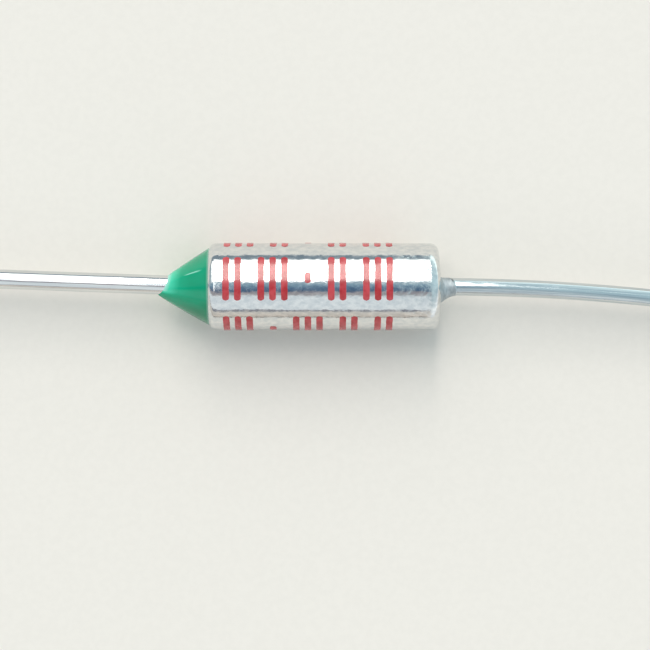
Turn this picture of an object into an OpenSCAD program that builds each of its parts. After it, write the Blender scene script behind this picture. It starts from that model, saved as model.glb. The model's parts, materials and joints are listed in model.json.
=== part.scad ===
// Axial thermal fuse that opens a circuit once, when its pellet melts.
// A drawn metal case holds the pellet, two springs, a sliding star contact and a bushing.
// A resin cone seals the rolled open end, and a wire lead leaves each end.
// The case lies along X with its open end toward -X, and the origin is at the middle of its axis.

/* [Case] */
// Outside diameter of the case
case_d = 4; // [3.8:0.05:5]
// Length of the case, from the rolled rim to the closed end
case_length = 10.6; // [10.2:0.1:14]
// Thickness of the case's side wall and rolled rim
case_wall = 0.25; // [0.2:0.01:0.32]
// Thickness of the closed end
case_floor = 0.5; // [0.35:0.05:0.8]
// Outside corner radius of the closed end
case_corner_r = 0.45; // [0.4:0.05:0.8]
// Outside radius of the rolled rim
rim_curl_r = 0.35; // [0.35:0.05:0.65]
// Diameter of the opening inside the rolled rim
rim_opening_d = 2.5; // [2.4:0.05:2.7]

/* [Case lead] */
// Diameter of the lead that is riveted to the closed end
case_lead_d = 0.8; // [0.6:0.05:0.9]
// Radius of the lead's long bend
case_lead_bend_r = 97; // [70:1:140]
// Angle that the lead turns through
case_lead_bend = 11.2; // [9:0.2:16]
// Straight run from the bend to the cut end
case_lead_tail = 18; // [7:0.5:24]
// Diameter of the rivet head inside the case
rivet_head_d = 1.4; // [1.1:0.05:1.8]
// Height of the rivet head, sunk in the closed end
rivet_head_h = 0.25; // [0.15:0.01:0.3]
// Diameter of the flared root on the closed end
root_flare_d = 1.36; // [1:0.02:1.5]
// Length of the flared root
root_flare_length = 1.1; // [0.5:0.05:1.2]
// How far the flared root sits off the lead's axis
root_flare_offset = 0.17; // [0.1:0.01:0.2]

/* [Isolated lead] */
// Diameter of the lead that passes through the bushing
isolated_lead_d = 0.9; // [0.7:0.05:1]
// Angle that the lead bends through between its collar and the tip of the seal
isolated_lead_bend = 2.1; // [1:0.1:3]
// Straight run from the tip of the seal to the cut end
isolated_lead_tail = 20; // [15:0.5:35]
// Diameter of the collar that seats in the bushing
collar_d = 1.5; // [1.3:0.05:1.6]
// Thickness of the collar
collar_h = 0.25; // [0.15:0.01:0.35]
// Diameter of the contact head
contact_head_d = 1.2; // [1.05:0.05:1.25]
// Height of the dome on the contact head
contact_dome_h = 0.12; // [0.06:0.01:0.2]

/* [Seal] */
// Length of the resin cone beyond the rolled rim
seal_length = 2.5; // [2.2:0.05:3]
// Diameter of the cone's outline at its tip
seal_tip_d = 0.58; // [0.5:0.02:0.8]
// Swell of the cone's outline over a straight line
seal_swell = 0.03; // [0.02:0.01:0.12]
// How far round the rolled rim the resin reaches, in degrees from the side wall
seal_reach = 65; // [35:1:75]

/* [Bushing] */
// Length of the bushing inside the case
bushing_length = 2.4; // [2.1:0.1:2.7]
// Diameter of the recess that takes the collar and the trip spring
recess_d = 2.5; // [2.4:0.05:2.7]
// Depth of that recess
recess_depth = 0.6; // [0.45:0.05:0.8]
// Diameter of the nose inside the seal
nose_d = 2; // [1.8:0.05:2.3]
// Length of the nose
nose_length = 0.55; // [0.4:0.05:0.8]
// Edge radius of the nose
nose_edge_r = 0.15; // [0.05:0.01:0.25]

/* [Contacts and discs] */
// How far the contact face stands beyond the bushing
contact_reach = 0.9; // [0.75:0.05:1.1]
// Sheet thickness of the star contact
star_sheet = 0.15; // [0.1:0.01:0.18]
// Depth of the star contact's bent fingers
star_depth = 0.7; // [0.5:0.05:0.8]
// Number of fingers
star_fingers = 12; // [8:1:14]
// Width of the slot between two fingers
star_slot_w = 0.22; // [0.12:0.01:0.26]
// Diameter of the star contact's solid middle
star_middle_d = 2; // [1.8:0.05:2.2]
// How far the fingers spring outward from bend to tip
star_flare = 0.12; // [0.05:0.01:0.2]
// Thickness of the two pressure discs
disc_h = 0.2; // [0.12:0.01:0.3]
// Edge radius of the two pressure discs
disc_edge_r = 0.05; // [0.02:0.01:0.06]

/* [Pellet] */
// Length of the pellet that melts
pellet_length = 3.2; // [2.6:0.1:3.6]

/* [Springs] */
// Wire diameter of the compression spring
main_wire_d = 0.4; // [0.3:0.01:0.45]
// Turns of the compression spring, with a closed turn at each end
main_turns = 4.5; // [3.5:0.5:5.5]
// Wire diameter of the trip spring
trip_wire_d = 0.2; // [0.14:0.01:0.24]
// Turns of the trip spring, with a closed turn at each end
trip_turns = 4; // [3:0.5:5]

/* [Fits] */
// Radial clearance of the bushing in the case and of the lead in the bushing
slide_gap = 0.03; // [0.02:0.01:0.05]
// Radial clearance of the star contact's finger tips in the case
finger_gap = 0.01; // [0.01:0.005:0.03]
// Radial clearance of the pellet and the discs in the case
pellet_gap = 0.05; // [0.03:0.01:0.1]
// Radial clearance of the compression spring in the case
main_spring_gap = 0.25; // [0.15:0.01:0.35]
// Radial clearance of the trip spring in the recess and round the contact head
trip_spring_gap = 0.12; // [0.08:0.01:0.14]
// Radial clearance of the case lead in its rivet hole
rivet_gap = 0.01; // [0.005:0.005:0.03]
// Chamfer on the cut ends of the leads
cut_chamfer = 0.06; // [0.03:0.01:0.12]

/* [Hidden] */
$fn = 96;

// Radii
case_r = case_d / 2;
bore_r = case_r - case_wall;
case_lead_r = case_lead_d / 2;
isolated_lead_r = isolated_lead_d / 2;
bushing_r = bore_r - slide_gap;
disc_r = bore_r - pellet_gap;
rim_opening_r = rim_opening_d / 2;
rim_inner_r = rim_curl_r - case_wall;
floor_corner_r = case_corner_r - case_wall;

// Places along the axis, from the open end to the closed end
rim_x = -case_length / 2;
end_x = case_length / 2;
shoulder_x = rim_x + case_wall;
nose_x = shoulder_x - nose_length;
bushing_end_x = shoulder_x + bushing_length;
seat_x = bushing_end_x - recess_depth;
contact_x = bushing_end_x + contact_reach;
contact_disc_x = contact_x + star_sheet;
main_spring_x = contact_disc_x + disc_h;
floor_x = end_x - case_floor;
pellet_x = floor_x - pellet_length;
pellet_disc_x = pellet_x - disc_h;

// Outline of the resin cone: an arc from the tip to the rolled rim
seal_tip = [seal_tip_d / 2, rim_x - seal_length];
seal_base = [
    case_r - rim_curl_r * (1 - cos(seal_reach)),
    rim_x + rim_curl_r * (1 - sin(seal_reach))
];
seal_chord = norm(seal_base - seal_tip);
seal_arc_r = (pow(seal_chord / 2, 2) + pow(seal_swell, 2)) / (2 * seal_swell);
seal_out = [seal_base[1] - seal_tip[1], seal_tip[0] - seal_base[0]] / seal_chord;
seal_center = (seal_base + seal_tip) / 2 - (seal_arc_r - seal_swell) * seal_out;

// The isolated lead bends from inside its collar to just past the tip of the seal
tail_margin = 0.1;
isolated_start_x = seat_x + collar_h;
isolated_span = isolated_start_x - seal_tip[1] + tail_margin;
isolated_bend_r = isolated_span / sin(isolated_lead_bend);
nose_reach = isolated_start_x - nose_x;
bore_sag = isolated_bend_r - sqrt(pow(isolated_bend_r, 2) - pow(nose_reach, 2));
bushing_bore_r = isolated_lead_r + bore_sag + slide_gap;
contact_dome_r = (pow(contact_head_d / 2, 2) + pow(contact_dome_h, 2)) / (2 * contact_dome_h);

// The case lead bends from inside its rivet head
wire_bury = 0.05;
case_lead_x = floor_x + wire_bury;

// Its bend leans until the cut end lies level with the underside of the case
case_lead_drift = case_lead_bend_r * (1 - cos(case_lead_bend)) + case_lead_tail * sin(case_lead_bend);
case_lead_lean = asin((case_r - case_lead_r) / case_lead_drift);

// Flared root: a concave arc that dies into the lead's lower side
root_tip_r = case_lead_r - root_flare_offset - wire_bury;
root_drop = root_flare_d / 2 - root_tip_r;
root_arc_r = (pow(root_drop, 2) + pow(root_flare_length, 2)) / (2 * root_drop);

// Star contact
star_tip_r = bore_r - finger_gap;
star_bend_r = star_tip_r - star_flare;

// Springs
main_spring_r = bore_r - main_spring_gap - main_wire_d / 2;
main_spring_length = pellet_disc_x - main_spring_x;
trip_seat_r = recess_d / 2 - trip_spring_gap - trip_wire_d / 2;
trip_contact_r = contact_head_d / 2 + trip_spring_gap + trip_wire_d / 2;
trip_spring_length = contact_x - seat_x;
closed_pitch = 1.08;
coil_steps = 16;
coil_sides = 8;

spare = 1;

// Turns a section, drawn as radius and X, round the case's axis
module turned() {
    rotate([0, 90, 0]) rotate_extrude() children();
}

// What a rounded corner takes off a square one
module corner_cut(r) {
    difference() {
        square(r + spare);
        circle(r);
    }
}

// Section of a turned blank from x0 to x1, with its two outer edges rounded
module blank_section(r, x0, x1, round0 = 0, round1 = 0) {
    difference() {
        translate([0, x0]) square([r, x1 - x0]);
        if (round0 > 0) translate([r - round0, x0 + round0]) mirror([0, 1]) corner_cut(round0);
        if (round1 > 0) translate([r - round1, x1 - round1]) corner_cut(round1);
    }
}

// Sunk rivet head, from the inner face of the closed end
module rivet_section() {
    polygon([
        [0, floor_x],
        [rivet_head_d / 2, floor_x],
        [case_lead_r - wire_bury, floor_x + rivet_head_h],
        [0, floor_x + rivet_head_h]
    ]);
}

module case_section() {
    difference() {
        blank_section(case_r, rim_x, end_x, rim_curl_r, case_corner_r);
        blank_section(bore_r, shoulder_x, floor_x, rim_inner_r, floor_corner_r);
        translate([0, rim_x - spare]) square([rim_opening_r, case_wall + 2 * spare]);
        rivet_section();
        translate([0, floor_x]) square([case_lead_r + rivet_gap, case_floor + spare]);
    }
}

module bushing_blank_section() {
    blank_section(bushing_r, shoulder_x, bushing_end_x, rim_inner_r);
    blank_section(nose_d / 2, nose_x, seat_x, nose_edge_r);
}

// The cone's outline, and the plug of resin in the rim's opening
module seal_section() {
    difference() {
        union() {
            intersection() {
                translate(seal_center) circle(seal_arc_r, $fn = 720);
                translate([0, seal_tip[1]]) square(seal_base - [0, seal_tip[1]]);
            }
            translate([0, rim_x]) square([rim_opening_r, case_wall]);
        }
        case_section();
        bushing_blank_section();
    }
}

// Wire that sets out along +X, turns toward -Y on a long bend and ends in a straight chamfered tail
module bent_wire(r, bend_r, angle, tail) {
    translate([0, -bend_r, 0])
        rotate([0, 0, 90 - angle]) {
            rotate_extrude(angle = angle) translate([bend_r, 0]) circle(r);
            translate([bend_r, 0, 0])
                rotate([90, 0, 0])
                    rotate_extrude()
                        polygon([
                            [0, 0],
                            [r, 0],
                            [r, tail - cut_chamfer],
                            [r - cut_chamfer, tail],
                            [0, tail]
                        ]);
        }
}

// The isolated lead's wire, from its collar toward -X and a little toward +Y
module isolated_wire() {
    translate([isolated_start_x, 0, 0])
        rotate([0, 0, 180])
            bent_wire(isolated_lead_r, isolated_bend_r, isolated_lead_bend, isolated_lead_tail);
}

// How far along the axis a coil has come after u turns
function coil_rise(u, turns, wire, length) =
    let (closed = wire * closed_pitch)
    let (open = (length - wire - 2 * closed) / (turns - 2))
    wire / 2 + closed * min(u, 1) + open * max(0, min(u - 1, turns - 2)) + closed * max(0, u - turns + 1);

// Wire coil round the axis from x0, with a closed turn at each end and its radius going from r0 to r1
module coil(x0, length, wire, r0, r1, turns) {
    rings = ceil(turns * coil_steps);
    points = [
        for (i = [0 : rings], j = [0 : coil_sides - 1])
            let (u = turns * i / rings)
            let (side = 360 * j / coil_sides)
            let (r = r0 + (r1 - r0) * u / turns + wire / 2 * cos(side))
            [
                x0 + coil_rise(u, turns, wire, length) + wire / 2 * sin(side),
                r * cos(360 * u),
                r * sin(360 * u)
            ]
    ];
    skin = [
        for (i = [0 : rings - 1], j = [0 : coil_sides - 1])
            let (a = i * coil_sides + j)
            let (b = i * coil_sides + (j + 1) % coil_sides)
            each [[a, b, b + coil_sides], [a, b + coil_sides, a + coil_sides]]
    ];
    first_cap = [for (j = [coil_sides - 1 : -1 : 0]) j];
    last_cap = [for (j = [0 : coil_sides - 1]) rings * coil_sides + j];
    polyhedron(points, concat(skin, [first_cap, last_cap]));
}

// Drawn case: a deep cup with its open rim rolled in over the bushing
module case() {
    color("#c9ced1") turned() case_section();
}

// Lead riveted through the closed end, with a flared root, bending down to the table
module case_lead() {
    color("#aab6bb") {
        turned() rivet_section();
        translate([end_x, -root_flare_offset, 0])
            turned()
                difference() {
                    square([root_flare_d / 2, root_flare_length]);
                    translate([root_tip_r + root_arc_r, root_flare_length]) circle(root_arc_r);
                }
        translate([case_lead_x, 0, 0])
            rotate([case_lead_lean, 0, 0])
                bent_wire(case_lead_r, case_lead_bend_r, case_lead_bend, case_lead_tail);
    }
}

// Pellet that melts at the fuse's temperature, seated in the closed end
module thermal_pellet() {
    color("#d8d0ba") turned() blank_section(disc_r, pellet_x, floor_x, 0, floor_corner_r);
}

// Disc that spreads the compression spring's load over the pellet
module pellet_disc() {
    color("#b8a06a")
        turned() blank_section(disc_r, pellet_disc_x, pellet_x, disc_edge_r, disc_edge_r);
}

module compression_spring() {
    color("#8f969b")
        coil(main_spring_x, main_spring_length, main_wire_d, main_spring_r, main_spring_r, main_turns);
}

// Disc between the compression spring and the star contact
module contact_disc() {
    color("#b8a06a")
        turned() blank_section(disc_r, contact_disc_x, main_spring_x, disc_edge_r, disc_edge_r);
}

// Sliding contact: a dished star of sheet metal whose fingers press on the case wall
module star_contact() {
    tip_x = contact_disc_x - star_depth;
    color("#d2d4cf")
        difference() {
            turned()
                polygon([
                    [0, contact_x],
                    [0, contact_disc_x],
                    [star_bend_r - star_sheet / 2, contact_disc_x],
                    [star_bend_r, contact_disc_x - star_sheet / 2],
                    [star_tip_r, tip_x],
                    [star_tip_r - star_sheet, tip_x],
                    [star_bend_r - star_sheet, contact_x]
                ]);
            for (i = [0 : star_fingers - 1])
                rotate([360 * (i + 0.5) / star_fingers, 0, 0])
                    translate([tip_x - spare, -star_slot_w / 2, star_middle_d / 2])
                        cube([star_depth + 2 * spare, star_slot_w, case_r]);
        }
}

// Weak spring that pushes the star contact away once the pellet has melted
module trip_spring() {
    color("#9aa0a3")
        coil(seat_x, trip_spring_length, trip_wire_d, trip_seat_r, trip_contact_r, trip_turns);
}

// Insulating bushing held by the rolled rim, with a recess for the collar and the trip spring
module ceramic_bushing() {
    color("#e9e4d8")
        difference() {
            turned() bushing_blank_section();
            turned() translate([0, seat_x]) square([recess_d / 2, recess_depth + spare]);
            turned() translate([0, nose_x - spare]) square([bushing_bore_r, nose_reach + 2 * spare]);
        }
}

// Headed lead: a collar seated in the bushing, a domed contact head and the wire through the seal
module isolated_lead() {
    color("#d3d7d8") {
        turned() {
            translate([0, seat_x]) square([collar_d / 2, collar_h]);
            intersection() {
                translate([0, seat_x]) square([contact_head_d / 2, contact_x - seat_x]);
                translate([0, contact_x - contact_dome_r]) circle(contact_dome_r);
            }
        }
        isolated_wire();
    }
}

// Resin cone that seals the rim round the isolated lead
module epoxy_seal() {
    color("#0f9e78")
        difference() {
            turned() seal_section();
            isolated_wire();
        }
}

case();
case_lead();
thermal_pellet();
pellet_disc();
compression_spring();
contact_disc();
star_contact();
trip_spring();
ceramic_bushing();
isolated_lead();
epoxy_seal();
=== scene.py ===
"""Looks of an axial thermal fuse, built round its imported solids.

The case lies along X with its open end toward -X. Lengths are in mm until a mesh is made. Angles round the
case's axis are from the top toward +Y.
"""
import json
import math

import bmesh
import bpy
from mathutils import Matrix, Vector


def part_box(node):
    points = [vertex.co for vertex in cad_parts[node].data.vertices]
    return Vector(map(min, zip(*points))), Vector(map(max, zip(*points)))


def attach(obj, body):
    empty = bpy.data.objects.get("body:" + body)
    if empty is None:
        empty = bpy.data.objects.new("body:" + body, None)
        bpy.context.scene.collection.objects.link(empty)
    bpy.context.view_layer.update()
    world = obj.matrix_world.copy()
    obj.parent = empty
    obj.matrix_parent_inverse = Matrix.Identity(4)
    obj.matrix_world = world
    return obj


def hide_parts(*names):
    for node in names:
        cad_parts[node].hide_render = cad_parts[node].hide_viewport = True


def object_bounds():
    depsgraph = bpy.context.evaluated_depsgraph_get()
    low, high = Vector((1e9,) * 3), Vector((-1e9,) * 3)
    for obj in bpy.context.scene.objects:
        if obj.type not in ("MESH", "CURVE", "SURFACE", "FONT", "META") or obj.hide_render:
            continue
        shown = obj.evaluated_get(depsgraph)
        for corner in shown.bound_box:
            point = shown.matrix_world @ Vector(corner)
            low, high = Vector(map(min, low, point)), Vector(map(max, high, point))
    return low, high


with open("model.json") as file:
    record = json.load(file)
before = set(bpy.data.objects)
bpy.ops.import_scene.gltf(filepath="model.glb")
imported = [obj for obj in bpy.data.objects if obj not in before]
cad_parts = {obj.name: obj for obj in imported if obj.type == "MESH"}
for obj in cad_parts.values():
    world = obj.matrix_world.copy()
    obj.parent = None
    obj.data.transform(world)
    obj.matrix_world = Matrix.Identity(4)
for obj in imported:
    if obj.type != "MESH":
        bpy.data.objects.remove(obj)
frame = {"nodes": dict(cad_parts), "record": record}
cad_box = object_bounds()

MM = 0.001
MOUNTS = {mount["name"]: mount for mount in frame["record"]["mounts"]}

# Case
CASE_R = MOUNTS["case_barrel"]["dims"]["r_mm"]
RIM_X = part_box("case")[0].x / MM
END_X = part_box("case")[1].x / MM
CASE_WALL = 0.25
CASE_FLOOR = 0.5
RIM_CURL_R = 0.35
RIM_OPENING_R = 1.25
CORNER_R = 0.45
# A drawn bend eases in from the straight wall, so it is a little fuller than a round one, whose power is 2
BEND_POWER = 2.3
# The closed end was pressed a little askew: past this X it leans in toward its +Y side, between these shares
# of the radius
END_LEAN = 0.04
END_LEAN_START = 2.5
END_LEAN_FROM = -0.6
END_LEAN_TO = 1.2
BORE_R = CASE_R - CASE_WALL
CURL_CENTER = (CASE_R - RIM_CURL_R, RIM_X + RIM_CURL_R)

# Case lead
CASE_LEAD_R = MOUNTS["case_lead_end"]["dims"]["r_mm"]
RIVET_R = 0.7
RIVET_H = 0.25
RIVET_NECK_R = 0.35
RIVET_GAP = 0.01
RIVET_HOLE_R = CASE_LEAD_R + RIVET_GAP
RIVET_X = END_X - CASE_FLOOR
FLARE_R = 0.68
FLARE_LENGTH = 1.1
FLARE_TIP_R = 0.18
FLARE_OFFSET = 0.17
# A small fillet joins the flare and the wire, and fades out over the flare's last stretch
FLARE_BLEND = 0.03
FLARE_BLEND_FADE = 0.2
# How far the root goes on inside the closed end, and the step from the plain wire before it
ROOT_DEPTH = 0.24
ROOT_STEP = 0.01
# The heading tool gripped the wire up to a slanted edge, and the wire is a little thicker under the grip
GRIP_RISE = 0.015
GRIP_END = 0.57
GRIP_SLANT = 0.2
GRIP_TURN_DEG = 35
GRIP_EDGE = 0.03
# Painted shade darkens the tool's edge on the +Y side, fading in between these sines of the angle round the
# wire
CREASE_SHADE_WIDTH = 0.035
CREASE_SHADE_FROM = 0.35
CREASE_SHADE_TO = 0.7

# Isolated lead
ISOLATED_LEAD_R = MOUNTS["isolated_lead_end"]["dims"]["r_mm"]
CONTACT_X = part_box("isolated_lead")[1].x / MM
CONTACT_HEAD_R = 0.6
CONTACT_DOME_H = 0.12
COLLAR_R = 0.75
COLLAR_H = 0.25
CUT_CHAMFER = 0.06

# Bushing inside the seal
NOSE_R = 1.0
NOSE_EDGE_R = 0.15
NOSE_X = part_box("ceramic_bushing")[0].x / MM
SHOULDER_X = RIM_X + CASE_WALL

# Seal
SEAL_BASE_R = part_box("epoxy_seal")[1].z / MM
SEAL_BASE_X = CURL_CENTER[1] - math.sqrt(RIM_CURL_R ** 2 - (SEAL_BASE_R - CURL_CENTER[0]) ** 2)
SEAL_LENGTH = 2.5
SEAL_TIP_R = 0.2
# The tip sagged a little toward -Y and downward as the resin set
SEAL_TIP_Y = -0.1
SEAL_TIP_Z = -0.1
# Swell over a straight side, measured square to a side of about this slope
SEAL_SWELL = 0.03
SEAL_SLOPE_DEG = 30
# Resin creeps up the lead by this much, and past this share of the side it thins to nothing
SEAL_MENISCUS = 0.04
SEAL_THIN_FROM = 0.9
# The -Y side of the resin is painted this much deeper as painted shade, between these sines of the angle
# toward -Y
SEAL_PAINTED_SHADE_DEPTH = 0.8
SEAL_PAINTED_SHADE_FROM = 0.35
SEAL_PAINTED_SHADE_TO = 0.95
# A fine ridge down the side, which rises and fades between these shares of the side; a glint is painted pale
# on its crest
SEAL_RIDGE_DEG = 27
SEAL_RIDGE_WIDTH_DEG = 1
SEAL_RIDGE_H = 0.01
SEAL_RIDGE_RISE = (0.12, 0.3)
SEAL_RIDGE_FADE = (0.45, 0.6)

# Steps round the pieces and along them
TURNED_SIDES = 192
WIRE_SIDES = 64
SEAL_SIDES = 360
SEAL_STEPS = 56
ARC_STEPS = 14
HIDDEN_ARC_STEPS = 6
DOME_STEPS = 8
WALL_STATIONS = 40
ISOLATED_STATIONS = 60
ROOT_STATIONS = 130
TAIL_STATIONS = 90
FIRST_STEP = 0.1
HALVINGS = 40
SHARP_EDGE_DEG = 35


def arc(center, r, start, end, steps=ARC_STEPS):
    """Points (radius, x) on an arc, at angles in degrees from the radius toward +X."""
    angles = [math.radians(start + (end - start) * k / steps) for k in range(steps + 1)]
    return [(center[0] + r * math.cos(a), center[1] + r * math.sin(a)) for a in angles]


def eased_bend(steps=ARC_STEPS):
    """Shares of depth and length along a bend, from the straight wall to the end face."""
    lengths = [math.sin(math.pi / 2 * k / steps) for k in range(steps + 1)]
    return [(1 - math.sqrt(max(1 - share ** BEND_POWER, 0)), share) for share in lengths]


def evenly(start, end, count):
    """Numbers from start to end."""
    return [start + (end - start) * k / (count - 1) for k in range(count)]


def smooth(value, low, high):
    """0 below low, 1 above high and an easy curve between."""
    t = min(max((value - low) / (high - low), 0), 1)
    return t * t * (3 - 2 * t)


def round_angles(sides):
    """Angles round the axis."""
    return [2 * math.pi * k / sides for k in range(sides)]


def into_scene(name, data):
    """A new object with this data, linked into the scene."""
    thing = bpy.data.objects.new(name, data)
    bpy.context.scene.collection.objects.link(thing)
    return thing


def note_vectors(mesh, name, vectors):
    """Keeps a named vector for each point of a mesh, for a material or a node tree to read."""
    layer = mesh.attributes.new(name, "FLOAT_VECTOR", "POINT")
    layer.data.foreach_set("vector", [value for vector in vectors for value in vector])


def shade(mesh):
    """Smooth faces with crisp edges."""
    mesh.shade_smooth()
    mesh.set_sharp_from_angle(angle=math.radians(SHARP_EDGE_DEG))


def skin(name, rings, looped=False, notes=None):
    """A closed mesh over rings of points, capped at both ends or looped back to its first ring."""
    count = len(rings[0])
    faces = []
    for i in range(len(rings) if looped else len(rings) - 1):
        a = i * count
        b = (i + 1) % len(rings) * count
        for j in range(count):
            k = (j + 1) % count
            faces.append((a + j, a + k, b + k, b + j))
    if not looped:
        faces.append(tuple(range(count)))
        faces.append(tuple(range((len(rings) - 1) * count, len(rings) * count)))
    mesh = bpy.data.meshes.new(name)
    mesh.from_pydata([point * MM for ring in rings for point in ring], [], faces)
    shell = bmesh.new()
    shell.from_mesh(mesh)
    bmesh.ops.recalc_face_normals(shell, faces=shell.faces)
    shell.to_mesh(mesh)
    shell.free()
    shade(mesh)
    for note, vectors in (notes or {}).items():
        note_vectors(mesh, note, vectors)
    return into_scene(name, mesh)


def settle(piece, material, slot, *nodes):
    """Gives a finished piece its material and its body, and hides the nodes that it stands for; the slot
    argument is not used.
    """
    piece.data.materials.clear()
    piece.data.materials.append(material)
    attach(piece, "root")
    if nodes:
        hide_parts(*nodes)


# Leads

def lead_path(mount):
    """The centre line of a lead: a bend and a straight tail, from the mount on its tail.

    Returns a function from the length past the bend's start to a place and a turn, the X of that start,
    and the length at the cut end.
    """
    axis = Vector(mount["axis"])
    tail = mount["dims"]["length_mm"]
    tail_start = Vector(mount["pos_m"]) / MM - axis * tail / 2
    out = Vector((math.copysign(1, axis.x), 0, 0))
    side = Vector((0, tail_start.y, tail_start.z))
    bend = out.angle(axis)
    bend_r = side.length / (1 - math.cos(bend))
    side.normalize()
    start = Vector((tail_start.x - out.x * bend_r * math.sin(bend), 0, 0))

    def place(s):
        """Place and turn at one length."""
        turned = min(max(s / bend_r, 0), bend)
        along = out * math.cos(turned) + side * math.sin(turned)
        point = start + (out * math.sin(turned) + side * (1 - math.cos(turned))) * bend_r
        return point + along * (s - turned * bend_r), out.rotation_difference(along)

    return place, start.x, bend * bend_r + tail + CUT_CHAMFER


def wire_skin(name, path, stations, grip_wear_and_crease_shade=None):
    """A wire along a path. Each station is a length along it and a radius, or a function of the angle.

    worked gives, by length and angle, how far a tool dulled the surface, and how dark the shade painted in
    its crease is.
    """
    rings = []
    drawn = []
    marks = []
    for s, radius in stations:
        point, turn = path(s)
        ring = []
        for a in round_angles(WIRE_SIDES):
            r = radius(a) if callable(radius) else radius
            across = Vector((0, r * math.sin(a), r * math.cos(a)))
            ring.append(point + turn @ across)
            drawn.append((s, across.y, across.z))
            dulled, crease_shade = grip_wear_and_crease_shade(s, a) if grip_wear_and_crease_shade else (0, 0)
            marks.append((dulled, crease_shade, 0))
        rings.append(ring)
    return skin(name, rings, notes={"drawn": drawn, "grip_wear_and_crease_shade": marks})


def off_center_reach(r, center_y, a):
    """How far a circle of radius r, moved along Y, reaches from the axis at angle a."""
    toward = center_y * math.sin(a)
    return toward + math.sqrt(r * r - center_y * center_y + toward * toward)


def isolated_lead():
    """Domed contact head, collar and wire."""
    path, start_x, end_s = lead_path(MOUNTS["isolated_lead_end"])
    r = ISOLATED_LEAD_R
    dome_r = (CONTACT_HEAD_R ** 2 + CONTACT_DOME_H ** 2) / (2 * CONTACT_DOME_H)
    dome_reach = math.degrees(math.asin(CONTACT_HEAD_R / dome_r))
    dome = arc((0, 0), dome_r, 90 - dome_reach / DOME_STEPS, 90 - dome_reach, DOME_STEPS - 1)
    stations = [(start_x - CONTACT_X + dome_r - x, radius) for radius, x in dome]
    stations += [(0, CONTACT_HEAD_R), (0, COLLAR_R), (COLLAR_H, COLLAR_R), (COLLAR_H, r)]
    stations += [(s, r) for s in evenly(COLLAR_H + FIRST_STEP, end_s - CUT_CHAMFER, ISOLATED_STATIONS)]
    stations += [(end_s, r - CUT_CHAMFER)]
    return wire_skin("isolated_lead_wire", path, stations)


def case_lead():
    """Sunk rivet head, flared root and bent wire."""
    path, start_x, end_s = lead_path(MOUNTS["case_lead_end"])
    face_s = END_X - start_x
    flare_drop = FLARE_R - FLARE_TIP_R
    flare_arc_r = (flare_drop ** 2 + FLARE_LENGTH ** 2) / (2 * flare_drop)

    def grip_wear_and_crease_shade(s, a):
        """How far the tool dulled the surface there, and how dark the shade painted in its crease is."""
        grip_s = face_s + GRIP_END + GRIP_SLANT * math.cos(a + math.radians(GRIP_TURN_DEG))
        gripped = 1 - smooth(s, grip_s - GRIP_EDGE, grip_s + GRIP_EDGE)
        crease_shade = math.exp(-((s - grip_s) / CREASE_SHADE_WIDTH) ** 2)
        return gripped, crease_shade * smooth(math.sin(a), CREASE_SHADE_FROM, CREASE_SHADE_TO)

    def rooted(s):
        """Outline of the wire and its flared root at one station."""
        t = min(max(s - face_s, 0), FLARE_LENGTH)
        flare = FLARE_TIP_R + flare_arc_r - math.sqrt(flare_arc_r ** 2 - (FLARE_LENGTH - t) ** 2)

        def radius(a):
            """Reach of the wire or the flare, whichever is further out, with a fillet between."""
            wire = CASE_LEAD_R + GRIP_RISE * grip_wear_and_crease_shade(s, a)[0]
            reach = off_center_reach(flare, -FLARE_OFFSET, a)
            blend = FLARE_BLEND * smooth(FLARE_LENGTH - t, 0, FLARE_BLEND_FADE)
            return (wire + reach + math.hypot(wire - reach, blend)) / 2

        return radius

    head_s = RIVET_X - start_x
    neck_s = head_s + RIVET_H * (RIVET_R - CASE_LEAD_R) / (RIVET_R - RIVET_NECK_R)
    root_s = face_s - ROOT_DEPTH
    root_end_s = face_s + FLARE_LENGTH
    stations = [(head_s, RIVET_R), (neck_s, CASE_LEAD_R), (root_s - ROOT_STEP, CASE_LEAD_R)]
    stations += [(s, rooted(s)) for s in evenly(root_s, root_end_s, ROOT_STATIONS)]
    tail = evenly(root_end_s + FIRST_STEP, end_s - CUT_CHAMFER, TAIL_STATIONS)
    stations += [(s, CASE_LEAD_R) for s in tail]
    stations += [(end_s, CASE_LEAD_R - CUT_CHAMFER)]
    return wire_skin("case_lead_wire", path, stations, grip_wear_and_crease_shade)


# Case

def case_section():
    """The wall of the drawn cup, as radius and X."""
    rim_inner_r = RIM_CURL_R - CASE_WALL
    inner_corner_r = CORNER_R - CASE_WALL
    hole_x = RIVET_X + RIVET_H * (RIVET_R - RIVET_HOLE_R) / (RIVET_R - RIVET_NECK_R)
    section = [(RIM_OPENING_R, RIM_X)]
    section += [
        (CASE_R - RIM_CURL_R * depth, RIM_X + RIM_CURL_R * (1 - length))
        for depth, length in reversed(eased_bend())
    ]
    section += [(CASE_R, x) for x in evenly(CURL_CENTER[1], END_X - CORNER_R, WALL_STATIONS)[1:-1]]
    section += [
        (CASE_R - CORNER_R * depth, END_X - CORNER_R * (1 - length))
        for depth, length in eased_bend()
    ]
    section += [(RIVET_HOLE_R, END_X), (RIVET_HOLE_R, hole_x), (RIVET_R, RIVET_X)]
    section += arc((BORE_R - inner_corner_r, RIVET_X - inner_corner_r), inner_corner_r, 90, 0)
    section += arc((BORE_R - rim_inner_r, SHOULDER_X + rim_inner_r), rim_inner_r, 0, -90)
    section += [(RIM_OPENING_R, SHOULDER_X)]
    return section


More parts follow.
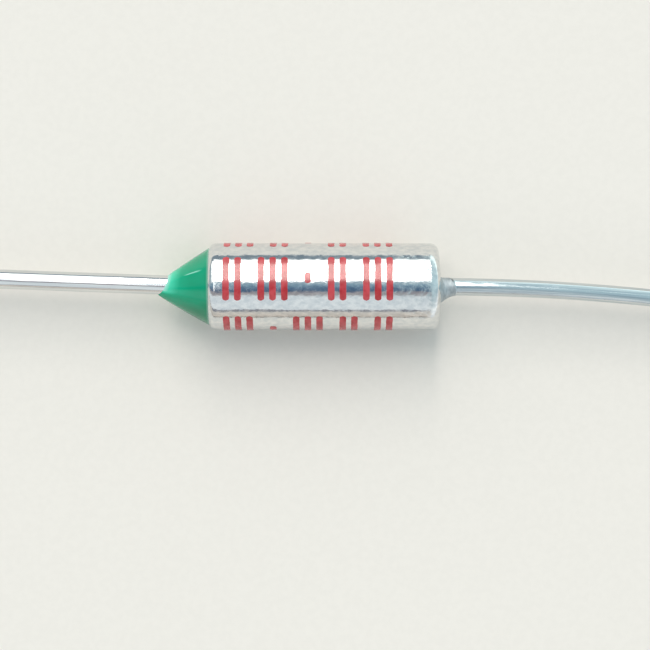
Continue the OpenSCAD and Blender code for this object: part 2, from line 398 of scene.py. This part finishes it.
def case_shell():
    """The drawn cup with its rolled rim and its slightly leaning end."""
    angles = round_angles(TURNED_SIDES)
    rings = []
    for r, x in case_section():
        near_end = smooth(x, END_LEAN_START, END_X)
        ring = []
        for a in angles:
            y = r * math.sin(a)
            lean = END_LEAN * smooth(y / CASE_R, END_LEAN_FROM, END_LEAN_TO) * near_end
            ring.append(Vector((x - lean, y, r * math.cos(a))))
        rings.append(ring)
    return skin("case_shell", rings, looped=True)


# Seal

def resin_cone():
    """The poured cone: thin at the rim and where it runs out along the lead."""
    path, lead_start_x, _ = lead_path(MOUNTS["isolated_lead_end"])
    tip_x = RIM_X - SEAL_LENGTH

    def outline(x, a):
        """Radius of the poured form, with no lead in it."""
        t = (x - tip_x) / (SEAL_BASE_X - tip_x)
        swell = 4 * SEAL_SWELL * t * (1 - t) / math.cos(math.radians(SEAL_SLOPE_DEG))
        sag = (SEAL_TIP_Y * math.sin(a) + SEAL_TIP_Z * math.cos(a)) * (1 - t)
        return SEAL_TIP_R + (SEAL_BASE_R - SEAL_TIP_R) * t + swell + sag

    def lead_reach(x, a):
        """How far the lead reaches from the case's axis."""
        point, _ = path(lead_start_x - x)
        return off_center_reach(ISOLATED_LEAD_R, point.y, a)

    def run_out(a):
        """Where the poured form meets the lead, found by halving."""
        low = tip_x
        high = SEAL_BASE_X
        for _ in range(HALVINGS):
            middle = (low + high) / 2
            if outline(middle, a) > lead_reach(middle, a):
                high = middle
            else:
                low = middle
        return high

    angles = round_angles(SEAL_SIDES)
    ends = [run_out(a) for a in angles]
    rings = []
    pours = []
    for k in range(SEAL_STEPS + 1):
        t = k / SEAL_STEPS
        ring = []
        for a, end in zip(angles, ends):
            x = SEAL_BASE_X + (end - SEAL_BASE_X) * t
            lead_r = lead_reach(x, a)
            film = outline(x, a) - lead_r
            r = lead_r + (film + math.hypot(film, SEAL_MENISCUS)) / 2
            r -= SEAL_MENISCUS / 2 * smooth(t, SEAL_THIN_FROM, 1)
            # Takes off what the creeping resin would add to the side away from the lead
            r -= SEAL_MENISCUS ** 2 / 4 / max(film, SEAL_MENISCUS)
            off_ridge = (math.degrees(a) - SEAL_RIDGE_DEG) / SEAL_RIDGE_WIDTH_DEG
            ridge = math.exp(-off_ridge ** 2) * smooth(t, *SEAL_RIDGE_RISE)
            ridge *= 1 - smooth(t, *SEAL_RIDGE_FADE)
            r += SEAL_RIDGE_H * ridge
            ring.append(Vector((x, r * math.sin(a), r * math.cos(a))))
            # Painted shade: the -Y side is counted as deeper resin, which darkens its colour
            painted_shade = SEAL_PAINTED_SHADE_DEPTH * smooth(-math.sin(a), SEAL_PAINTED_SHADE_FROM, SEAL_PAINTED_SHADE_TO)
            # The ridge's share goes along in the pour, for the glint painted on its crest
            pours.append((r - lead_r + painted_shade, SEAL_BASE_X - x, ridge))
        rings.append(ring)

    # The inside, on the lead, the bushing's nose and the rolled rim
    inner = [(None, NOSE_X), (NOSE_R - NOSE_EDGE_R, NOSE_X)]
    inner += arc((NOSE_R - NOSE_EDGE_R, NOSE_X + NOSE_EDGE_R), NOSE_EDGE_R, -90, 0, HIDDEN_ARC_STEPS)[1:]
    inner += [(NOSE_R, SHOULDER_X), (RIM_OPENING_R, SHOULDER_X), (RIM_OPENING_R, RIM_X)]
    reach = math.degrees(math.acos((SEAL_BASE_R - CURL_CENTER[0]) / RIM_CURL_R))
    inner += arc(CURL_CENTER, RIM_CURL_R, -90, -reach, HIDDEN_ARC_STEPS)[:-1]
    for r, x in inner:
        ring = []
        for a in angles:
            reached = lead_reach(x, a) if r is None else r
            ring.append(Vector((x, reached * math.sin(a), reached * math.cos(a))))
            pours.append((0, 0, 0))
        rings.append(ring)
    return skin("resin_cone", rings, looped=True, notes={"pour": pours})


# Materials

# A noise pattern mostly stays between these
PATTERN_LOW = 0.35
PATTERN_HIGH = 0.65
# Features of the tin on the case. Its grain is drawn coarser than the real one, which is too fine to show.
CASE_WAVE = 1.3
CASE_WAVE_HEIGHT = 0.022
CASE_CLOUD = 0.6
CASE_GRAIN = 0.2
CASE_GRAIN_HEIGHT = 0.006
# Features per mm along a wire and across it. The draw lines are drawn coarser than the real ones, which are
# too fine to show.
DRAW_LINES = (0.25, 14, 14)
DRAW_LINE_HEIGHT = 0.002
STRAIGHTENING_WAVES = (0.55, 1.6, 1.6)
GRIP_MOTTLE = (12, 4, 4)
GRIP_MOTTLE_HEIGHT = 0.006
GRIP_ROUGHNESS = 0.6
# Colour of the resin by its depth over the lead, and its pale edge on the rim. Its pale tip is partly a
# painted highlight.
# Painted shade on the -Y side adds to the depth and reaches the deepest stops
RESIN_BY_DEPTH_AND_PAINTED_LIGHT = {
    0: "#a6e2d2", 0.17: "#44cda6", 0.48: "#0aa67d", 0.84: "#009a71", 1.2: "#00976f", 1.7: "#00825b",
}
RESIN_CLOUD = 1.1
RESIN_RIPPLE_HEIGHT = 0.02
RESIN_EDGE_FROM = 0.02
RESIN_EDGE_TO = 0.1
RESIN_EDGE_SHARE = 0.6
INK_PATCH = 0.35
FLOOR_MOTTLE = 0.3


def linear(code):
    """Linear RGBA from an sRGB hex value."""
    parts = [int(code[k:k + 2], 16) / 255 for k in (1, 3, 5)]
    return (*[p / 12.92 if p <= 0.04045 else ((p + 0.055) / 1.055) ** 2.4 for p in parts], 1)


def per_mm(size):
    """Texture scale, on Object coordinates in metres, of a pattern with features of this size in mm."""
    return 1 / (size * MM)


def tones(dark, light, low=PATTERN_LOW, high=PATTERN_HIGH):
    """Stops for a ramp that goes from dark to light as a pattern goes from low to high."""
    return {low: linear(dark), high: linear(light)}


def stops_along(colours, low, high):
    """Stops for a ramp, from colours by a value that runs from low to high."""
    return {(at - low) / (high - low): linear(code) for at, code in colours.items()}


def add(tree, kind, links=None, stops=None, **settings):
    """Adds a node with its properties, its inputs and, on a ramp, its stops.

    An input takes a value, another node's output, or a node, which stands for its first output.
    """
    node = tree.nodes.new(kind)
    for name, value in settings.items():
        setattr(node, name, value)
    for socket, value in (links or {}).items():
        if isinstance(value, bpy.types.Node):
            value = value.outputs[0]
        if isinstance(value, bpy.types.NodeSocket):
            tree.links.new(value, node.inputs[socket])
        else:
            node.inputs[socket].default_value = value
    if stops:
        bands = node.color_ramp.elements
        bands.remove(bands[-1])
        for k, (place, colour) in enumerate(stops.items()):
            band = bands.new(place) if k else bands[0]
            band.position = place
            band.color = colour
    return node


def new_material(name, **shader):
    """A material with a Principled shader that has these constant inputs."""
    material = bpy.data.materials.new(name)
    material.use_nodes = True
    tree = material.node_tree
    tree.nodes.clear()
    surface = add(tree, "ShaderNodeBsdfPrincipled", shader)
    add(tree, "ShaderNodeOutputMaterial", {"Surface": surface})
    return material, tree, surface


def bright_tin_case():
    """Drawn brass, bright tin plated: a mirror with slow waves from drawing and a fine mottled grain."""
    material, tree, surface = new_material("bright_tin_on_drawn_brass", Metallic=1.0)
    place = add(tree, "ShaderNodeTexCoord").outputs["Object"]
    # Waves and grain are longer along the case, the way that it was drawn
    waves_at = add(tree, "ShaderNodeMapping", {"Vector": place, "Scale": (0.4, 1, 1)})
    grain_at = add(tree, "ShaderNodeMapping", {"Vector": place, "Scale": (0.7, 1, 1)})
    waves = add(tree, "ShaderNodeTexNoise", {
        "Vector": waves_at, "Scale": per_mm(CASE_WAVE), "Detail": 1.0}).outputs["Fac"]
    grain = add(tree, "ShaderNodeTexNoise", {
        "Vector": grain_at, "Scale": per_mm(CASE_GRAIN), "Detail": 2.0}).outputs["Fac"]
    clouds = add(tree, "ShaderNodeTexNoise", {
        "Vector": place, "Scale": per_mm(CASE_CLOUD), "Detail": 3.0}).outputs["Fac"]
    tint = add(tree, "ShaderNodeValToRGB", {"Fac": grain}, tones("#d2d5d6", "#e6e6e4"))
    haze = add(tree, "ShaderNodeMath", {0: grain, 1: clouds}, operation="ADD")
    rough = add(tree, "ShaderNodeMapRange", {
        "Value": haze, "From Min": 0.75, "From Max": 1.25, "To Min": 0.06, "To Max": 0.15})
    wavy = add(tree, "ShaderNodeBump", {
        "Height": waves, "Strength": 1.0, "Distance": CASE_WAVE_HEIGHT * MM})
    bitten = add(tree, "ShaderNodeBump", {
        "Height": grain, "Strength": 1.0, "Distance": CASE_GRAIN_HEIGHT * MM, "Normal": wavy})
    tree.links.new(tint.outputs[0], surface.inputs["Base Color"])
    tree.links.new(rough.outputs[0], surface.inputs["Roughness"])
    tree.links.new(bitten.outputs[0], surface.inputs["Normal"])
    return material


def tinned_wire(name, dark, light, low_rough, high_rough, wave_height):
    """Drawn copper wire with bright tin: long draw lines, and slow waves where it was straightened or bent.

    Where the heading tool gripped it, the tin is dull and mottled, and shade is painted dark in the crease
    along the tool's edge.
    """
    material, tree, surface = new_material(name, Metallic=1.0)
    along = add(tree, "ShaderNodeAttribute", attribute_name="drawn").outputs["Vector"]
    grip_wear_and_crease_shade = add(tree, "ShaderNodeAttribute", attribute_name="grip_wear_and_crease_shade").outputs["Vector"]
    marks = add(tree, "ShaderNodeSeparateXYZ", {0: grip_wear_and_crease_shade}).outputs
    gripped = marks["X"]
    crease_shade = marks["Y"]
    lines_at = add(tree, "ShaderNodeMapping", {"Vector": along, "Scale": DRAW_LINES})
    waves_at = add(tree, "ShaderNodeMapping", {"Vector": along, "Scale": STRAIGHTENING_WAVES})
    mottle_at = add(tree, "ShaderNodeMapping", {"Vector": along, "Scale": GRIP_MOTTLE})
    lines = add(tree, "ShaderNodeTexNoise", {
        "Vector": lines_at, "Scale": 1.0, "Detail": 3.0}).outputs["Fac"]
    waves = add(tree, "ShaderNodeTexNoise", {
        "Vector": waves_at, "Scale": 1.0, "Detail": 2.0}).outputs["Fac"]
    mottle = add(tree, "ShaderNodeTexNoise", {
        "Vector": mottle_at, "Scale": 1.0, "Detail": 2.0}).outputs["Fac"]
    bright = add(tree, "ShaderNodeValToRGB", {"Fac": lines}, tones(dark, light))
    dull = add(tree, "ShaderNodeValToRGB", {"Fac": mottle}, tones("#a3aaae", "#bec3c5"))
    plain = add(tree, "ShaderNodeMix", {0: gripped, 6: bright, 7: dull}, data_type="RGBA")
    # Painted shade: a dark line along the crease at the tool's edge
    tint = add(tree, "ShaderNodeMix", {
        0: crease_shade, 6: plain.outputs[2], 7: linear("#363d41")}, data_type="RGBA")
    polish = add(tree, "ShaderNodeMapRange", {
        "Value": lines, "From Min": 0.3, "From Max": 0.7, "To Min": low_rough, "To Max": high_rough})
    rough = add(tree, "ShaderNodeMix", {0: gripped, 2: polish, 3: GRIP_ROUGHNESS})
    texture = add(tree, "ShaderNodeMix", {0: gripped, 2: lines, 3: mottle})
    depth = add(tree, "ShaderNodeMix", {0: gripped, 2: DRAW_LINE_HEIGHT * MM, 3: GRIP_MOTTLE_HEIGHT * MM})
    wavy = add(tree, "ShaderNodeBump", {"Height": waves, "Strength": 1.0, "Distance": wave_height * MM})
    lined = add(tree, "ShaderNodeBump", {
        "Height": texture, "Strength": 1.0, "Distance": depth, "Normal": wavy})
    tree.links.new(tint.outputs[2], surface.inputs["Base Color"])
    tree.links.new(rough.outputs[0], surface.inputs["Roughness"])
    tree.links.new(lined.outputs[0], surface.inputs["Normal"])
    return material


def green_epoxy():
    """Poured epoxy, glossy and self-levelled: pale where it thins along the lead, partly as a painted
    highlight, and at the rim, with painted shade on the -Y side.
    """
    material, tree, surface = new_material("poured_green_epoxy", IOR=1.52, Roughness=0.13)
    pour = add(tree, "ShaderNodeAttribute", attribute_name="pour").outputs["Vector"]
    parts = add(tree, "ShaderNodeSeparateXYZ", {0: pour}).outputs
    # Depth over the lead, with the painted shade of the -Y side added in
    depth = parts["X"]
    from_rim = parts["Y"]
    ridge = parts["Z"]
    deepest = max(RESIN_BY_DEPTH_AND_PAINTED_LIGHT)
    depth_share = add(tree, "ShaderNodeMapRange", {"Value": depth, "From Max": deepest})
    body = add(tree, "ShaderNodeValToRGB", {"Fac": depth_share}, stops_along(RESIN_BY_DEPTH_AND_PAINTED_LIGHT, 0, deepest))
    place = add(tree, "ShaderNodeTexCoord").outputs["Object"]
    clouds_at = add(tree, "ShaderNodeMapping", {"Vector": place, "Scale": (0.35, 1, 1)})
    clouds = add(tree, "ShaderNodeTexNoise", {
        "Vector": clouds_at, "Scale": per_mm(RESIN_CLOUD), "Detail": 2.0}).outputs["Fac"]
    cloud_tint = add(tree, "ShaderNodeValToRGB", {"Fac": clouds}, tones("#e6efeb", "#ffffff", 0.3, 0.6))
    clouded = add(tree, "ShaderNodeMix", {
        0: 1.0, 6: body, 7: cloud_tint}, data_type="RGBA", blend_type="MULTIPLY")
    edge = add(tree, "ShaderNodeMapRange", {
        "Value": from_rim, "From Min": RESIN_EDGE_FROM, "From Max": RESIN_EDGE_TO,
        "To Min": RESIN_EDGE_SHARE, "To Max": 0.0})
    edged = add(tree, "ShaderNodeMix", {
        0: edge, 6: clouded.outputs[2], 7: linear("#8fb3a6")}, data_type="RGBA")
    # Painted glint: the ridge's crest is painted pale mint
    painted_ridge_glint = add(tree, "ShaderNodeMix", {
        0: ridge, 6: edged.outputs[2], 7: linear("#a4e6d2")}, data_type="RGBA")
    ripples = add(tree, "ShaderNodeBump", {
        "Height": clouds, "Strength": 1.0, "Distance": RESIN_RIPPLE_HEIGHT * MM})
    tree.links.new(painted_ridge_glint.outputs[2], surface.inputs["Base Color"])
    tree.links.new(ripples.outputs[0], surface.inputs["Normal"])
    return material


def red_ink():
    """Pad-printed enamel ink: a glossy film that is a little thinner and paler in patches."""
    material, tree, surface = new_material("pad_printed_red_ink", IOR=1.56, Roughness=0.2)
    place = add(tree, "ShaderNodeTexCoord").outputs["Object"]
    patches = add(tree, "ShaderNodeTexNoise", {
        "Vector": place, "Scale": per_mm(INK_PATCH), "Detail": 3.0}).outputs["Fac"]
    tint = add(tree, "ShaderNodeValToRGB", {"Fac": patches}, tones("#aa292e", "#c5474d"))
    tree.links.new(tint.outputs[0], surface.inputs["Base Color"])
    return material


def grained(name, dark, light, size, height, **shader):
    """A plain finish with a grain of this size, for the pieces that the case hides."""
    material, tree, surface = new_material(name, **shader)
    place = add(tree, "ShaderNodeTexCoord").outputs["Object"]
    grain = add(tree, "ShaderNodeTexNoise", {
        "Vector": place, "Scale": per_mm(size), "Detail": 3.0}).outputs["Fac"]
    tint = add(tree, "ShaderNodeValToRGB", {"Fac": grain}, tones(dark, light))
    bump = add(tree, "ShaderNodeBump", {"Height": grain, "Strength": 1.0, "Distance": height * MM})
    tree.links.new(tint.outputs[0], surface.inputs["Base Color"])
    tree.links.new(bump.outputs[0], surface.inputs["Normal"])
    return material


# Finishes inside the case. Their grains are drawn coarser than the real ones, which are too fine to show.
HIDDEN_FINISHES = {
    # Pressed organic powder: matt, with fine specks
    "thermal_pellet": grained("pressed_pellet_compound", "#cfc4a6", "#e4dcc6", size=0.12, height=0.01,
                              Roughness=0.75),
    # Stamped brass: satin, rolled grain
    "pellet_disc": grained("stamped_brass", "#b08d4a", "#c9a862", size=0.1, height=0.002,
                           Metallic=1.0, Roughness=0.3),
    "contact_disc": grained("stamped_brass_disc", "#b08d4a", "#c9a862", size=0.1, height=0.002,
                            Metallic=1.0, Roughness=0.3),
    # Drawn spring wire: grey and smooth
    "compression_spring": grained("drawn_spring_wire", "#85898c", "#a2a6a8", size=0.08, height=0.002,
                                  Metallic=1.0, Roughness=0.28),
    "trip_spring": grained("drawn_fine_spring_wire", "#8d9193", "#abaeb0", size=0.05, height=0.001,
                           Metallic=1.0, Roughness=0.28),
    # Silver plating over stamped copper alloy: pale and satin
    "star_contact": grained("silver_plated_copper", "#cfcec8", "#e6e5df", size=0.08, height=0.002,
                            Metallic=1.0, Roughness=0.2),
    # Unglazed fired ceramic: matt off-white with a fine bite
    "ceramic_bushing": grained("unglazed_ceramic", "#ddd6c8", "#efeae0", size=0.06, height=0.004,
                               Roughness=0.7),
}


# Print

MARK_STROKE = 0.3
MARK_HEIGHT = 2.1
MARK_DOT = 0.5
MARK_FILM = 0.016
MARK_SINK = 0.004
# Corner radius as a share of half the mark's narrow side
MARK_CORNER = 0.8
# How far the ink bleeds at its edges, and the size of the blots
MARK_BLEED = 0.03
MARK_BLEED_SIZE = 0.2
MARK_POINTS_ACROSS = 7
MARK_POINTS_ALONG = 49
MARK_PITCH = 0.53
ROW_CENTER_DEG = 10.7
ROW_PITCH_DEG = 84.5
ROW_START_X = -4.45
# One sign for each place: a full bar, a short one or a space
MARK_ROWS = {
    1: "||| || . || |||",
    0: "|| ||| . || |||",
    -1: "||| . ||| || ||",
}
MARK_HEIGHTS = {"|": MARK_HEIGHT, ".": MARK_DOT}


def mark_tree():
    """Stamps a round-cornered film of ink at each point, then wraps the flat print round the case."""
    tree = bpy.data.node_groups.new("wrapped_print", "GeometryNodeTree")
    sockets = {
        "Geometry": "Geometry", "Case radius": "Float", "Corner share": "Float", "Bleed": "Float",
        "Bleed size": "Float", "Ink": "Material",
    }
    for label, kind in sockets.items():
        tree.interface.new_socket(label, in_out="INPUT", socket_type="NodeSocket" + kind)
    tree.interface.new_socket("Geometry", in_out="OUTPUT", socket_type="NodeSocketGeometry")
    given = add(tree, "NodeGroupInput").outputs

    # A block of ink at each point, as large as the point says
    spot = add(tree, "GeometryNodeInputPosition")
    block = add(tree, "GeometryNodeMeshCube", {
        "Size": (1, 1, 1), "Vertices X": MARK_POINTS_ACROSS, "Vertices Y": MARK_POINTS_ALONG,
        "Vertices Z": 2})
    kept = add(tree, "GeometryNodeStoreNamedAttribute", {
        "Geometry": block.outputs["Mesh"], "Name": "on_mark", "Value": spot},
        data_type="FLOAT_VECTOR", domain="POINT")
    size = add(tree, "GeometryNodeInputNamedAttribute", {"Name": "mark_size"},
               data_type="FLOAT_VECTOR").outputs["Attribute"]
    stamped = add(tree, "GeometryNodeInstanceOnPoints", {
        "Points": given["Geometry"], "Instance": kept, "Scale": size})
    solid = add(tree, "GeometryNodeRealizeInstances", {"Geometry": stamped})

    # Its sides draw in toward both ends, which rounds the corners
    on_mark = add(tree, "GeometryNodeInputNamedAttribute", {"Name": "on_mark"},
                  data_type="FLOAT_VECTOR").outputs["Attribute"]
    from_middle = add(tree, "ShaderNodeVectorMath", {0: on_mark, 1: size}, operation="MULTIPLY")
    offset = add(tree, "ShaderNodeSeparateXYZ", {0: from_middle}).outputs
    half_size = add(tree, "ShaderNodeVectorMath", {0: size, "Scale": 0.5}, operation="SCALE")
    half = add(tree, "ShaderNodeSeparateXYZ", {0: half_size}).outputs
    narrow = add(tree, "ShaderNodeMath", {0: half["X"], 1: half["Y"]}, operation="MINIMUM")
    corner = add(tree, "ShaderNodeMath", {0: narrow, 1: given["Corner share"]}, operation="MULTIPLY")
    corner_start = add(tree, "ShaderNodeMath", {0: half["Y"], 1: corner}, operation="SUBTRACT")
    height = add(tree, "ShaderNodeMath", {0: offset["Y"]}, operation="ABSOLUTE")
    over = add(tree, "ShaderNodeMapRange", {
        "Value": height, "From Min": corner_start, "From Max": half["Y"]})
    squared = add(tree, "ShaderNodeMath", {0: over, 1: over}, operation="MULTIPLY")
    rest = add(tree, "ShaderNodeMath", {0: 1.0, 1: squared}, operation="SUBTRACT")
    rounded = add(tree, "ShaderNodeMath", {0: rest}, operation="SQRT")
    short_by = add(tree, "ShaderNodeMath", {0: rounded, 1: 1.0}, operation="SUBTRACT")
    inset = add(tree, "ShaderNodeMath", {0: corner, 1: short_by}, operation="MULTIPLY")
    inset_share = add(tree, "ShaderNodeMath", {0: inset, 1: half["X"]}, operation="DIVIDE")
    slid = add(tree, "ShaderNodeMath", {0: offset["X"], 1: inset_share}, operation="MULTIPLY")

    # Its edges bleed a little
    blots_at = add(tree, "ShaderNodeVectorMath", {0: spot, 1: given["Bleed size"]}, operation="DIVIDE")
    blots = add(tree, "ShaderNodeTexNoise", {
        "Vector": blots_at, "Scale": 1.0, "Detail": 1.0}).outputs["Color"]
    either_way = add(tree, "ShaderNodeVectorMath", {0: blots, 1: (0.5, 0.5, 0.5)}, operation="SUBTRACT")
    spread = add(tree, "ShaderNodeCombineXYZ", {"X": given["Bleed"], "Y": given["Bleed"]})
    bleed = add(tree, "ShaderNodeVectorMath", {0: either_way, 1: spread}, operation="MULTIPLY")
    bled = add(tree, "ShaderNodeVectorMath", {0: spot, 1: bleed}, operation="ADD")
    flat = add(tree, "ShaderNodeSeparateXYZ", {0: bled}).outputs

    # The height on the flat print becomes an angle round the case
    x = add(tree, "ShaderNodeMath", {0: flat["X"], 1: slid}, operation="ADD")
    reach = add(tree, "ShaderNodeMath", {0: given["Case radius"], 1: flat["Z"]}, operation="ADD")
    angle = add(tree, "ShaderNodeMath", {0: flat["Y"], 1: given["Case radius"]}, operation="DIVIDE")
    on_top = add(tree, "ShaderNodeCombineXYZ", {"X": x, "Z": reach})
    wrapped = add(tree, "ShaderNodeVectorRotate", {"Vector": on_top, "Angle": angle},
                  rotation_type="X_AXIS", invert=True)
    laid = add(tree, "GeometryNodeSetPosition", {"Geometry": solid, "Position": wrapped})
    inked = add(tree, "GeometryNodeSetMaterial", {"Geometry": laid, "Material": given["Ink"]})
    add(tree, "NodeGroupOutput", {"Geometry": inked})
    return tree


def printed_marks(ink):
    """Rows of plain bars and dashes where the case is printed."""
    points = []
    sizes = []
    for row, signs in MARK_ROWS.items():
        middle = math.radians(ROW_CENTER_DEG + row * ROW_PITCH_DEG) * CASE_R
        for place, sign in enumerate(signs):
            if sign == " ":
                continue
            x = ROW_START_X + place * MARK_PITCH
            points.append(Vector((x, middle, MARK_FILM / 2 - MARK_SINK)) * MM)
            sizes.append(Vector((MARK_STROKE, MARK_HEIGHTS[sign], MARK_FILM)) * MM)
    mesh = bpy.data.meshes.new("mark_places")
    mesh.from_pydata(points, [], [])
    note_vectors(mesh, "mark_size", sizes)
    holder = into_scene("mark_places", mesh)
    tree = mark_tree()
    stamp = holder.modifiers.new("wrapped_print", "NODES")
    stamp.node_group = tree
    inputs = {
        "Case radius": CASE_R * MM, "Corner share": MARK_CORNER, "Bleed": MARK_BLEED * MM,
        "Bleed size": MARK_BLEED_SIZE * MM, "Ink": ink,
    }
    for socket in tree.interface.items_tree:
        if socket.in_out == "INPUT" and socket.name in inputs:
            stamp[socket.identifier] = inputs[socket.name]
    bpy.context.view_layer.update()
    stamped = holder.evaluated_get(bpy.context.evaluated_depsgraph_get())
    print_mesh = bpy.data.meshes.new_from_object(stamped)
    print_mesh.name = "printed_marks"
    shade(print_mesh)
    bpy.data.objects.remove(holder)
    return into_scene("printed_marks", print_mesh)


# The piece that each finish goes on

settle(case_shell(), bright_tin_case(), "tinned_case", "case")
straight_wire = tinned_wire("bright_tinned_copper_wire", "#d4d7d8", "#e8e8e6",
                            low_rough=0.06, high_rough=0.13, wave_height=0.012)
settle(isolated_lead(), straight_wire, "tinned_lead", "isolated_lead")
bent_wire = tinned_wire("handled_tinned_copper_wire", "#b9c2c6", "#d6dadb",
                        low_rough=0.1, high_rough=0.2, wave_height=0.018)
settle(case_lead(), bent_wire, "tinned_lead", "case_lead")
settle(resin_cone(), green_epoxy(), "seal_resin", "epoxy_seal")
ink = red_ink()
settle(printed_marks(ink), ink, "marking_ink")
for node, finish in HIDDEN_FINISHES.items():
    frame["nodes"][node].data.materials.clear()
    frame["nodes"][node].data.materials.append(finish)


# Floor, light and camera

FLOOR_SIZE = 8000
BOX_COLOUR = "#fffaf3"
# Watts that a square metre of soft box takes for a radiance of 1
BOX_WATTS = 4
# Soft boxes. Low and high edges are in degrees from straight up toward +Y, and left and right edges are
# shares of the distance. The key has a hot middle, where its lamp is.
SOFT_BOXES = {
    "key": dict(low=11.6, high=75, left=-0.95, right=0.08, distance=4000, radiance=1.0),
    "key_middle": dict(low=16, high=61, left=-0.085, right=0.06, distance=3980, radiance=8),
    "overhead": dict(low=-13, high=11.6, left=-0.26, right=-0.128, distance=150, radiance=1.2),
}
# Colour of the room round the case's axis, by the angle in degrees from straight up toward +Y
ROOM = {
    -180: "#cfc9c2", -97: "#d6ccc0", -92: "#d9cfc4", -91: "#8a8580", -88: "#8a8580", -87: "#d9cfc4",
    -71: "#dfdbd4", -69: "#94969e", -66: "#94969e", -64: "#edf5f9", -28: "#eaf3f8", -23: "#b0adb0",
    -16: "#a8a3a8", -13: "#4f6a88", -4: "#62809c", 5: "#8fafc2", 12: "#bccdd6", 74: "#b4c3cb",
    76: "#8a9ba6", 92: "#8a9ba6", 97: "#cfc9c2",
}
ROOM_ON_THE_RIGHT = {
    -180: "#cfc9c2", -97: "#cdd0d1", -70: "#d3d9db", -45: "#a9b6bb", -20: "#9eb1b8", 10: "#a2bac2",
    60: "#a9bec4", 70: "#b4cace", 78: "#eafdfd", 92: "#eafdfd", 97: "#cfc9c2",
}
# How far a direction points to the right, from -1 to 1: the right side's colours come in between the first
# two, and the room's strength goes by it
RIGHT_FROM = 0.06
RIGHT_TO = 0.075
ROOM_STRENGTH = {-1: 1.0, 0.06: 1.0, 0.08: 1.4, 0.3: 1.6, 1: 1.6}
CAMERA_SENSOR = 36
CAMERA_LENS = 117.8
CAMERA_NEAR = 5
CAMERA_EYE = Vector((0.04, -1.77, 98))


def pale_floor():
    """A plain pale floor under the part."""
    material, tree, surface = new_material("pale_studio_floor", Roughness=0.85)
    place = add(tree, "ShaderNodeTexCoord").outputs["Object"]
    mottle = add(tree, "ShaderNodeTexNoise", {
        "Vector": place, "Scale": per_mm(FLOOR_MOTTLE), "Detail": 2.0}).outputs["Fac"]
    tint = add(tree, "ShaderNodeValToRGB", {"Fac": mottle}, tones("#e6ddd4", "#e8dfd6"))
    tree.links.new(tint.outputs[0], surface.inputs["Base Color"])
    half = FLOOR_SIZE * MM / 2
    z = cad_box[0][2]
    corners = [(-half, -half, z), (half, -half, z), (half, half, z), (-half, half, z)]
    mesh = bpy.data.meshes.new("floor")
    mesh.from_pydata(corners, [], [(0, 1, 2, 3)])
    mesh.materials.append(material)
    into_scene("floor", mesh)


def room():
    """A soft room: darker overhead, pale on the sides and brighter to the right."""
    world = bpy.data.worlds.new("room")
    world.use_nodes = True
    tree = world.node_tree
    tree.nodes.clear()
    toward = add(tree, "ShaderNodeTexCoord").outputs["Generated"]
    parts = add(tree, "ShaderNodeSeparateXYZ", {0: toward}).outputs
    radians = add(tree, "ShaderNodeMath", {0: parts["Y"], 1: parts["Z"]}, operation="ARCTAN2")
    turn = add(tree, "ShaderNodeMapRange", {"Value": radians, "From Min": -math.pi, "From Max": math.pi})
    middle = add(tree, "ShaderNodeValToRGB", {"Fac": turn}, stops_along(ROOM, -180, 180))
    right = add(tree, "ShaderNodeValToRGB", {"Fac": turn}, stops_along(ROOM_ON_THE_RIGHT, -180, 180))
    share = add(tree, "ShaderNodeMapRange", {
        "Value": parts["X"], "From Min": RIGHT_FROM, "From Max": RIGHT_TO})
    colour = add(tree, "ShaderNodeMix", {0: share, 6: middle, 7: right}, data_type="RGBA")
    top_strength = max(ROOM_STRENGTH.values())
    greys = {}
    for at, value in ROOM_STRENGTH.items():
        grey = value / top_strength
        greys[(at + 1) / 2] = (grey, grey, grey, 1)
    across = add(tree, "ShaderNodeMapRange", {"Value": parts["X"], "From Min": -1.0, "From Max": 1.0})
    level = add(tree, "ShaderNodeValToRGB", {"Fac": across}, greys)
    strength = add(tree, "ShaderNodeMath", {0: level, 1: top_strength}, operation="MULTIPLY")
    light = add(tree, "ShaderNodeBackground", {"Color": colour.outputs[2], "Strength": strength})
    add(tree, "ShaderNodeOutputWorld", {"Surface": light})
    bpy.context.scene.world = world


def soft_box(name, low, high, left, right, distance, radiance):
    """A soft box on an arc round the case's axis, facing the case."""
    reach = distance * MM
    light = bpy.data.lights.new(name, "AREA")
    light.shape = "RECTANGLE"
    light.size = (right - left) * reach
    light.size_y = 2 * math.tan(math.radians(high - low) / 2) * reach
    light.energy = BOX_WATTS * light.size * light.size_y * radiance
    light.color = linear(BOX_COLOUR)[:3]
    lamp = into_scene(name, light)
    tilt = math.radians(low + high) / 2
    lamp.location = ((left + right) / 2 * reach, math.sin(tilt) * reach, math.cos(tilt) * reach)
    lamp.rotation_euler = (-tilt, 0, 0)
    lamp.visible_camera = False


def camera():
    """Straight down on the case, as the photo was taken."""
    data = bpy.data.cameras.new("camera")
    data.sensor_width = CAMERA_SENSOR
    data.lens = CAMERA_LENS
    data.clip_start = CAMERA_NEAR * MM
    eye = into_scene("camera", data)
    eye.location = CAMERA_EYE * MM
    bpy.context.scene.camera = eye


pale_floor()
room()
for box_name, box in SOFT_BOXES.items():
    soft_box(box_name, **box)
camera()
bpy.context.scene.view_settings.view_transform = "Standard"
